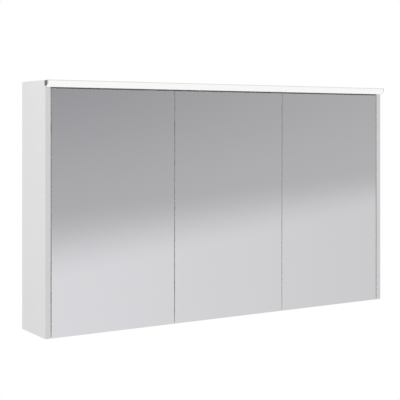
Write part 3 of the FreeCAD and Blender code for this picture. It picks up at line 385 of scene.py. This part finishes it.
def inward(middle):
    """From the board that carries a hinge towards the middle of its compartment."""
    return (-math.copysign(1, middle.x), 0, 0)


def screwed(name, node, way, length, body):
    """Cross-head screws that stand for a CAD node's plain ones."""
    fit(name, copies(screw(length), tops(node, way)), zinc, body, [node])


ARM_SCREW_LENGTH = 16
FLANGE_SCREW_LENGTH = 14.5
screwed("arm_plate_screws", "hinge_arm_screws", inward, ARM_SCREW_LENGTH, "cabinet")
for door in DOORS:
    body = f"{door}_door"
    rounded(f"{door}_hinge_castings", f"{door}_hinge_bodies", nickel, body, rounding=0.3)
    screwed(f"{door}_flange_screws", f"{door}_hinge_screws", (0, 1, 0), FLANGE_SCREW_LENGTH, body)
    dress(zinc, f"{door}_hinge_pins")

# Mirrors: silvered float glass, 4 mm on the door fronts and 3 mm inside, bonded to the door cores.
# The rim has a narrow polished arris in front of a ground edge, where the bare glass shows frosted.
mirror, place = new_finish("silvered_glass")
facing = place.node("ShaderNodeTexCoord", out="Normal")
turned_away = abs(facing.part("Y"))
arris = turned_away < 0.95
edge = turned_away < 0.5
ground = spots(place, 2200)
haze = spots(place, 9)
silver = haze.blend((0.937, 0.943, 0.942, 1), (0.947, 0.951, 0.95, 1))
frosted = ground.blend((0.89, 0.92, 0.91, 1), (0.94, 0.96, 0.95, 1))
close(place, {
    "Base Color": edge.blend(arris.blend(silver, (0.90, 0.91, 0.908, 1)), frosted),
    "Metallic": 1 - edge,
    "Roughness": 0.004 + 0.006 * haze + 0.06 * arris + edge * (0.4 + 0.2 * ground),
})
dress(mirror, *(f"{door}_door_{side}mirror" for door in DOORS for side in ("", "inner_")))

# Door buffers: domed pads of clear rubber, stuck on the back of each door near its free edge.
# They stop the door softly, a hair short of the carcass; the rubber has a dull bloom.
clear_rubber, place = new_finish("clear_rubber")
bloom = spots(place, 900)
close(place, {
    "Base Color": bloom.blend((0.62, 0.63, 0.63, 1), (0.74, 0.75, 0.75, 1)),
    "Roughness": 0.45 + 0.15 * bloom,
    "Normal": raised(bloom, depth=0.00005, strength=0.3),
})
buffer = turned([(3.5, -3.7), (3.5, -2), (3.3, -1.2), (2.7, -0.5), (1.6, -0.1), (0.4, 0)])
for door in DOORS:
    fit(f"{door}_domed_buffers", copies(buffer, tops(f"{door}_door_bumpers", (0, 1, 0))), clear_rubber,
        f"{door}_door", [f"{door}_door_bumpers"])

# Magnet catches: a white moulded housing under the top panel holds a dark magnet between two steel poles.
# The poles come flush with its front and draw the zinc plated strike on the door, which is glued on.
for door in DOORS:
    rounded(f"{door}_strike", f"{door}_strike_plate", zinc, f"{door}_door", rounding=0.3)

moulding, place = new_finish("white_moulding")
spark = spots(place, 2600)
tone = spots(place, 20)
close(place, {
    "Base Color": tone.blend((0.70, 0.70, 0.685, 1), (0.76, 0.76, 0.745, 1)),
    "Roughness": 0.4 + 0.2 * spark,
    "Normal": raised(spark, depth=0.00006, strength=0.3),
})

ferrite, place = new_finish("dark_magnet")
grain = spots(place, 1400, detail=4)
close(place, {
    "Base Color": grain.blend((0.035, 0.034, 0.034, 1), (0.075, 0.073, 0.072, 1)),
    "Roughness": 0.55 + 0.2 * grain,
    "Normal": raised(grain, depth=0.00008, strength=0.4),
})


def slab(low, high):
    """A block between two corners."""
    across, along, up = zip(low, high)
    corners = [Vector((x, y, z)) for x in across for y in along for z in up]
    return corners, [(0, 1, 3, 2), (4, 6, 7, 5), (0, 4, 5, 1), (2, 3, 7, 6), (0, 2, 6, 4), (1, 5, 7, 3)]


def joined(forms):
    """Several forms as one piece."""
    points = []
    faces = []
    for form in forms:
        first = len(points)
        points += form[0]
        faces += [tuple(first + corner for corner in face) for face in form[1]]
    return points, faces


POLE_INSET = 5 * MM
POLE_DEPTH = 6 * MM
POLE_THICKNESS = 1.6 * MM
MAGNET_HALF = 3 * MM
MAGNET_SETBACK = 0.5 * MM
HOUSING_SETBACK = 1.2 * MM
housings = []
poles = []
magnets = []
for low, high in solids("magnet_catches"):
    left, right = low.x + POLE_INSET, high.x - POLE_INSET
    back = low.y + POLE_DEPTH
    middle = (low.z + high.z) / 2
    under, over = middle - MAGNET_HALF, middle + MAGNET_HALF
    housings.append(slab((low.x, low.y + HOUSING_SETBACK, low.z), high))
    magnets.append(slab((left, low.y + MAGNET_SETBACK, under), (right, back, over)))
    for foot in (under - POLE_THICKNESS, over):
        poles.append(slab((left, low.y, foot), (right, back, foot + POLE_THICKNESS)))
fit("catch_housings", joined(housings), moulding, "cabinet", ["magnet_catches"],
    rounding=0.8)
fit("catch_poles", joined(poles), zinc, "cabinet", rounding=0.2)
fit("catch_magnets", joined(magnets), ferrite, "cabinet", rounding=0.2)

# Light: a folded aluminium profile, powder coated white, with an opal cover for its front and underside.
# Dark grey caps with a white rim close both ends; five screws hold its flange on the top panel.
# The cover is lit from behind, most of all on its slanting underside.
powder, place = new_finish("white_powder_coat")
grit = spots(place, 1500, detail=3)
tone = spots(place, 12)
close(place, {
    "Base Color": tone.blend((0.85, 0.85, 0.85, 1), (0.89, 0.89, 0.89, 1)),
    "Roughness": 0.42 + 0.14 * grit,
    "Normal": raised(grit, depth=0.00004, strength=0.25),
})
dress(powder, "light_profile")
screwed("profile_screws", "light_screws", (0, 0, 1), FLANGE_SCREW_LENGTH, "cabinet")

opal, place = new_finish("lit_opal_cover")
down = place.node("ShaderNodeTexCoord", out="Normal").part("Z")
slant = down < -0.3
lip = down < -0.95
milk = spots(place, 700)
glow = spots(place, 25)
front_glow = glow.blend((0.54, 0.54, 0.535, 1), (0.58, 0.58, 0.575, 1))
close(place, {
    "Base Color": milk.blend((0.72, 0.72, 0.71, 1), (0.76, 0.76, 0.75, 1)),
    "Roughness": 0.4 + 0.1 * milk,
    "Emission Color": lip.blend(slant.blend(front_glow, (0.69, 0.69, 0.68, 1)), (0, 0, 0, 1)),
    "Emission Strength": 0.6,
    "Normal": raised(milk, depth=0.00002, strength=0.15),
})
dress(opal, "light_diffuser")

cap_grey, place = new_finish("dark_grey_cap")
spark = spots(place, 2600)
close(place, {
    "Base Color": spark.blend((0.112, 0.112, 0.116, 1), (0.15, 0.15, 0.155, 1)),
    "Roughness": 0.45 + 0.2 * spark,
    "Normal": raised(spark, depth=0.00005, strength=0.3),
})
dress(cap_grey, "light_end_caps")

RIM_OUTSIDE = [(22, 19), (0, 19), (0, 8), (15, 0), (22, 0)]
RIM_INSIDE = [(20.9, 17.7), (1.8, 17.7), (2.4, 7.6), (10.2, 2.6), (20.9, 2.6)]
RIM_HEIGHT = 0.3 * MM


def end_rim(outside, inside, left, right):
    """A flat rim on one end of the light, between two outlines of depth and height."""
    count = len(outside)
    points = [Vector((x, y, z)) for x in (left, right) for y, z in outside + inside]
    faces = []
    for corner in range(count):
        ahead = (corner + 1) % count
        near = (corner, ahead, ahead + count, corner + count)
        far = tuple(2 * count + point for point in near)
        faces += [near[::-1], far, (near[0], near[1], far[1], far[0]), (near[2], near[3], far[3], far[2])]
    return points, faces


cap_low, cap_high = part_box("light_end_caps")
outside, inside = ([(cap_low.y + depth * MM, cap_low.z + height * MM) for depth, height in outline]
                   for outline in (RIM_OUTSIDE, RIM_INSIDE))
cap_rims = joined([end_rim(outside, inside, cap_low.x - RIM_HEIGHT, cap_low.x),
                   end_rim(outside, inside, cap_high.x, cap_high.x + RIM_HEIGHT)])
fit("cap_rims", cap_rims, powder, "cabinet", rounding=0.1)

# LED board: a white solder-masked strip stuck under the roof of the profile.
# Its row of chips is covered with yellow phosphor.
led_finish, place = new_finish("led_strip")
CHIP_HEIGHT = 0.95 * MM
chip = place.part("Z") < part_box("led_board")[0].z + CHIP_HEIGHT
weave = spots(place, 3000)
mask = weave.blend((0.80, 0.81, 0.80, 1), (0.87, 0.88, 0.87, 1))
close(place, {
    "Base Color": chip.blend(mask, (0.86, 0.66, 0.16, 1)),
    "Roughness": 0.3 + 0.2 * weave,
    "Normal": raised(weave, depth=0.00003, strength=0.2),
})
dress(led_finish, "led_board")

# LED driver: a white moulded case screwed down on the tray behind the light.
# Cooling ribs run across its lid at both ends, with a bare aluminium plate between them.
rounded("driver_shell", "led_driver_case", moulding, "cabinet", rounding=0.7)


def pressed(outline, height):
    """A plate or bar with one outline in millimetres, standing up from it."""
    count = len(outline)
    points = [Vector((x, y, z)) * MM for z in (0, height) for x, y in outline]
    faces = [tuple(reversed(range(count))), tuple(range(count, 2 * count))]
    for corner in range(count):
        ahead = (corner + 1) % count
        faces.append((corner, ahead, ahead + count, corner + count))
    return points, faces


def rounded_outline(width, depth, radius, steps=6):
    """Corner points of a plate with round corners."""
    points = []
    for quarter, (side, end) in enumerate(((1, 1), (-1, 1), (-1, -1), (1, -1))):
        for step in range(steps + 1):
            angle = math.pi / 2 * (quarter + step / steps)
            points.append((side * (width / 2 - radius) + radius * math.cos(angle),
                           end * (depth / 2 - radius) + radius * math.sin(angle)))
    return points


case_low, case_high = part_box("led_driver_case")
case_middle = (case_low + case_high) / 2
RIB_OUTLINE = [(-0.9, -0.2), (0.9, -0.2), (0.8, 0.5), (0.4, 0.85), (-0.4, 0.85), (-0.8, 0.5)]
RIB_LENGTH = 34
RIB_COUNT = 7
RIB_PITCH = 3.4
FIRST_RIB = 30
laid_over = Matrix.Rotation(math.radians(90), 4, "X")
rib_y = case_middle.y + RIB_LENGTH / 2 * MM
ribs = []
for step in range(RIB_COUNT):
    for way in (-1, 1):
        rib_x = case_middle.x + way * (FIRST_RIB + RIB_PITCH * step) * MM
        ribs.append(Matrix.Translation((rib_x, rib_y, case_high.z)) @ laid_over)
fit("driver_ribs", copies(pressed(RIB_OUTLINE, RIB_LENGTH), ribs), moulding, "cabinet")

bare_plate, place = new_finish("bare_aluminium")
drawn = place.node("ShaderNodeVectorMath", {"operation": "MULTIPLY"}, {0: place, 1: (200, 4000, 200)})
brush = spots(drawn, 1.0, detail=3)
close(place, {
    "Base Color": brush.blend((0.66, 0.67, 0.68, 1), (0.80, 0.81, 0.82, 1)),
    "Metallic": 1.0,
    "Roughness": 0.3 + 0.15 * brush,
    "Normal": raised(brush, depth=0.00002, strength=0.3),
})
PLATE_OUTLINE = rounded_outline(width=48, depth=28, radius=3)
PLATE_THICKNESS = 0.4
lid_middle = Matrix.Translation((case_middle.x, case_middle.y, case_high.z))
lid_plate = copies(pressed(PLATE_OUTLINE, PLATE_THICKNESS), [lid_middle])
fit("driver_plate", lid_plate, bare_plate, "cabinet")

# Terminal block: a white moulding with two rows of three brass screws, each in a raised collar.
# The supply comes in through the bush in the back panel behind it.
rounded("terminal_moulding", "terminal_block", moulding, "cabinet", rounding=0.6)
brass, place = new_finish("brass")
tarnish = spots(place, 420, detail=4)
close(place, {
    "Base Color": tarnish.blend((0.70, 0.53, 0.25, 1), (0.82, 0.66, 0.36, 1)),
    "Metallic": 1.0,
    "Roughness": 0.24 + 0.2 * tarnish,
})
block_low, block_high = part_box("terminal_block")
block_size = block_high - block_low
collar = turned([(4.4, -0.2), (4.4, 0.6), (4.1, 0.9), (3.4, 0.9), (3.2, 0.7), (3.2, 0.05)])
COLUMNS = 3
ROWS = 2
CLAMP_SCREW_SIZE = 0.7
CLAMP_SCREW_LENGTH = 10
CLAMP_SCREW_RISE = 0.6 * MM
collars = []
clamp_screws = []
for column in range(COLUMNS):
    for row in range(ROWS):
        spot_x = block_low.x + block_size.x * (column + 0.5) / COLUMNS
        spot_y = block_low.y + block_size.y * (row + 0.5) / ROWS
        collars.append(Matrix.Translation((spot_x, spot_y, block_high.z)))
        head = (spot_x, spot_y, block_high.z + CLAMP_SCREW_RISE)
        clamp_screws.append(aimed(head, (0, 0, 1), CLAMP_SCREW_SIZE))
fit("terminal_collars", copies(collar, collars), moulding, "cabinet")
fit("terminal_screws", copies(screw(CLAMP_SCREW_LENGTH), clamp_screws), brass, "cabinet")

# Leads: fixed wiring in a soft grey-white sheath, from the terminal block to the driver and the switch and
# from the driver to the light. Moulded sleeves take the strain where they leave the driver, and clips hold
# them on the tray.
sheath, place = new_finish("lead_sheath")
dull = spots(place, 500)
close(place, {
    "Base Color": dull.blend((0.60, 0.60, 0.58, 1), (0.68, 0.68, 0.66, 1)),
    "Roughness": 0.5 + 0.15 * dull,
    "Normal": raised(dull, depth=0.00005, strength=0.25),
})
dress(sheath, "driver_lead", "led_lead", "switch_lead")
rounded("lead_saddles", "cable_clips", moulding, "cabinet", rounding=0.5)
sleeve = turned([(3.8, -10.2), (3.8, -8.6), (3.1, -8), (3.1, -7), (2.8, -6.7), (2.8, -6), (3, -5.7), (3, -5),
                 (2.6, -4.7), (2.6, -4), (2.8, -3.7), (2.8, -3), (2.4, -2.7), (2.3, 0)])
SLEEVE_REACH = 10 * MM
supply_low, supply_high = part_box("driver_lead")
led_low, led_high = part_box("led_lead")
sleeve_tips = [
    aimed((case_low.x - SLEEVE_REACH, case_middle.y, (supply_low.z + supply_high.z) / 2), (-1, 0, 0)),
    aimed((case_high.x + SLEEVE_REACH, case_middle.y, (led_low.z + led_high.z) / 2), (1, 0, 0)),
]
fit("lead_sleeves", copies(sleeve, sleeve_tips), moulding, "cabinet")

# Grommets: black rubber bushes pressed into the back panel for the supply and into the top panel for
# the switch lead, each with a collar. The rubber is dull, with a faint bloom.
black_rubber, place = new_finish("black_rubber")
bloom = spots(place, 1200)
close(place, {
    "Base Color": bloom.blend((0.020, 0.020, 0.021, 1), (0.036, 0.036, 0.037, 1)),
    "Roughness": 0.6 + 0.2 * bloom,
    "Normal": raised(bloom, depth=0.00006, strength=0.3),
})
for bush in ("supply", "lead"):
    rounded(f"{bush}_bush", f"{bush}_grommet", black_rubber, "cabinet", rounding=0.4)

# Socket and switch: glossy white mouldings let into a box that is screwed under the top panel.
# The outlet has two sleeves for the pins and two bent spring strips for the earth.
gloss, place = new_finish("gloss_moulding")
flow = spots(place, 40)
close(place, {
    "Base Color": flow.blend((0.78, 0.78, 0.775, 1), (0.82, 0.82, 0.815, 1)),
    "Roughness": 0.16 + 0.06 * flow,
    "Normal": raised(flow, depth=0.0002, strength=0.05),
})
rounded("socket_case", "socket_box", moulding, "cabinet", rounding=0.8)
rounded("outlet_moulding", "socket_outlet", gloss, "cabinet", rounding=0.4)
rounded("switch_surround", "switch_frame", gloss, "cabinet", rounding=0.4)
rounded("rocker_key", "switch_rocker", gloss, "rocker", rounding=0.4)


def bent_strip(path, width, thickness):
    """A metal strip bent along points of depth and height in millimetres."""
    points = []
    faces = [(0, 2, 3, 1)]
    for along, up in path:
        for side in (-width / 2, width / 2):
            points += [Vector((side, along, up)) * MM, Vector((side, along, up + thickness)) * MM]
    for bend in range(0, len(points) - 4, 4):
        for near, far in ((2, 0), (3, 2), (1, 3), (0, 1)):
            faces.append((bend + near, bend + far, bend + far + 4, bend + near + 4))
    last = len(points) - 4
    faces.append((last, last + 1, last + 3, last + 2))
    return points, faces


outlet_low, outlet_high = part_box("socket_outlet")
outlet_front = (outlet_low + outlet_high) / 2
outlet_front.y = outlet_low.y
WELL_DEPTH = 17.5
EARTH_BENDS = [(1.5, 18.3), (4, 17.6), (7, 16.6), (9.5, 16.2), (12, 16.6), (15, 17.7), (WELL_DEPTH, 18.2)]
earth = bent_strip(EARTH_BENDS, width=6, thickness=0.6)
earth_places = [Matrix.Translation(outlet_front) @ Matrix.Rotation(turn, 4, "Y") for turn in (0, math.pi)]
fit("earth_strips", copies(earth, earth_places), nickel, "cabinet")
PIN_SPACING = 19
pin_sleeve = turned([(2.45, -2.2), (2.45, 0.2), (2.2, 0.3), (1.9, 0.2), (1.9, -2)])
pin_places = []
for way in (-1, 1):
    pin = outlet_front + Vector((way * PIN_SPACING / 2, WELL_DEPTH, 0)) * MM
    pin_places.append(aimed(pin, (0, -1, 0)))
fit("pin_sleeves", copies(pin_sleeve, pin_places), brass, "cabinet")

# Floor: a round pale sheet well below the cabinet, lit as the rest and fading out at its edge.
# It is the studio's, not the cabinet's, and keeps the cabinet's shadow.
FLOOR_DROP = 1.15
FLOOR_RADIUS = 2.6
FLOOR_CORNERS = 96
FADE_STARTS = 0.55 * FLOOR_RADIUS
WHITENING = 0.5
floor_z = cad_box[0][2] - FLOOR_DROP
turns = [math.tau * corner / FLOOR_CORNERS for corner in range(FLOOR_CORNERS)]
edge_points = [(FLOOR_RADIUS * math.cos(turn), FLOOR_RADIUS * math.sin(turn), floor_z) for turn in turns]
floor_mesh = bpy.data.meshes.new("studio_floor")
floor_mesh.from_pydata(edge_points, [], [range(FLOOR_CORNERS)])
floor = bpy.data.objects.new("studio_floor", floor_mesh)
scene.collection.objects.link(floor)

floor_paint, place = new_finish("pale_floor")
flat = place.node("ShaderNodeVectorMath", {"operation": "MULTIPLY"}, {0: place, 1: (1, 1, 0)})
away = flat.node("ShaderNodeVectorMath", {"operation": "LENGTH"}, {0: flat}, "Value")
ray = place.node("ShaderNodeLightPath", out="Is Camera Ray")
mist = spots(place, 3)
paint = place.node("ShaderNodeBsdfDiffuse", {}, {
    "Color": mist.blend((0.84, 0.84, 0.84, 1), (0.87, 0.87, 0.87, 1)),
})
white = place.node("ShaderNodeEmission", {}, {"Color": (1, 1, 1, 1), "Strength": 1.0})
lit = place.node("ShaderNodeMixShader", {}, {0: ray * WHITENING, 1: paint, 2: white})
clear = place.node("ShaderNodeBsdfTransparent")
faded = away.between(FADE_STARTS, FLOOR_RADIUS)
sheet = place.node("ShaderNodeMixShader", {}, {0: faded, 1: lit, 2: clear})
place.node("ShaderNodeOutputMaterial", {}, {"Surface": sheet})
floor_mesh.materials.append(floor_paint)

# Studio: even soft light all round and a white background.
# The mirrors show a grey wall between a pale ground and a pale ceiling, a little lighter to the right.
# Their left arrises show a left wall, square to the first, that is darker above and stands on a paler ground.
# One large lamp on the left brings up the side panel, most of all its upper part.
world = bpy.data.worlds.new("studio")
world.use_nodes = True
world.node_tree.nodes.clear()
scene.world = world
air = Shade(world.node_tree)
way = air.node("ShaderNodeTexCoord", out="Generated")
WALL_TURN = math.radians(30)
LEAST_REACH = 0.15
MOST_REACH = 0.63
LEFT_TO_RIGHT = (0.356, 0.757)
FRONT_TO_LEFT = (-0.6, -0.78)
WALL_FADE = (0.106, -0.157)
GROUND_FADE = (-0.131, -0.265)
CEILING_FADE = (0.2, 0.55)
front_side = (-math.sin(WALL_TURN), -math.cos(WALL_TURN), 0)
left_side = (-math.cos(WALL_TURN), math.sin(WALL_TURN), 0)
front, left = [way.node("ShaderNodeVectorMath", {"operation": "DOT_PRODUCT"}, {0: way, 1: side}, "Value")
               for side in (front_side, left_side)]
to_left = way.part("X").between(*FRONT_TO_LEFT)
reach = front + to_left * (left - front)
reach = reach.node("ShaderNodeClamp", {}, {"Value": reach, "Min": LEAST_REACH, "Max": MOST_REACH})
skyline = way.part("Z") / reach
across = way.part("X").between(*LEFT_TO_RIGHT)
wall_high = across.blend((0.323, 0.313, 0.333, 1), (0.448, 0.444, 0.453, 1))
wall_high = to_left.blend(wall_high, (0.270, 0.265, 0.280, 1))
wall_low = across.blend((0.430, 0.423, 0.444, 1), (0.472, 0.466, 0.480, 1))
ground_tone = across.blend((0.728, 0.718, 0.748, 1), (0.623, 0.609, 0.629, 1))
ground_tone = to_left.blend(ground_tone, (0.830, 0.820, 0.840, 1))
wall_tone = skyline.between(*WALL_FADE).blend(wall_high, wall_low)
room_tone = skyline.between(*GROUND_FADE).blend(wall_tone, ground_tone)
studio_tone = way.part("Z").between(*CEILING_FADE).blend(room_tone, (0.85, 0.85, 0.85, 1))
ray_kind = "ShaderNodeLightPath"
seen = air.node(ray_kind, out="Is Camera Ray") + air.node(ray_kind, out="Is Transmission Ray")
mirrored = air.node(ray_kind, out="Is Glossy Ray")
DAYLIGHT = (0.795, 0.795, 0.795, 1)
WHITE = (1, 1, 1, 1)
tone = seen.blend(mirrored.blend(DAYLIGHT, studio_tone), WHITE)
backdrop = air.node("ShaderNodeBackground", {}, {"Color": tone, "Strength": 1.0})
air.node("ShaderNodeOutputWorld", {}, {"Surface": backdrop})

side_lamp = bpy.data.lights.new("side_lamp", "AREA")
side_lamp.shape = "RECTANGLE"
side_lamp.size = 1.5
side_lamp.size_y = 1.5
side_lamp.energy = 19.5
lamp = bpy.data.objects.new("side_lamp", side_lamp)
lamp.location = (-2.0, -0.2, 1.9)
lamp.rotation_euler = (math.radians(45), 0, math.radians(-90))
scene.collection.objects.link(lamp)

# Camera: level, at standing eye height for the cabinet, looking from its left.
# The shift keeps the uprights parallel and frames the cabinet as in the photograph.
IMAGE_PIXELS = 400
FOCAL_PIXELS = 1005.8
HORIZON_ROW = 126.3
view = bpy.data.cameras.new("view")
view.sensor_width = 36
view.lens = view.sensor_width * FOCAL_PIXELS / IMAGE_PIXELS
view.shift_y = HORIZON_ROW / IMAGE_PIXELS - 0.5
eye = bpy.data.objects.new("view", view)
eye.location = (-1.6852, -2.6843, 0.2244)
eye.rotation_euler = (math.radians(90), 0, math.radians(-32.047))
scene.collection.objects.link(eye)
scene.camera = eye
scene.view_settings.view_transform = "Standard"
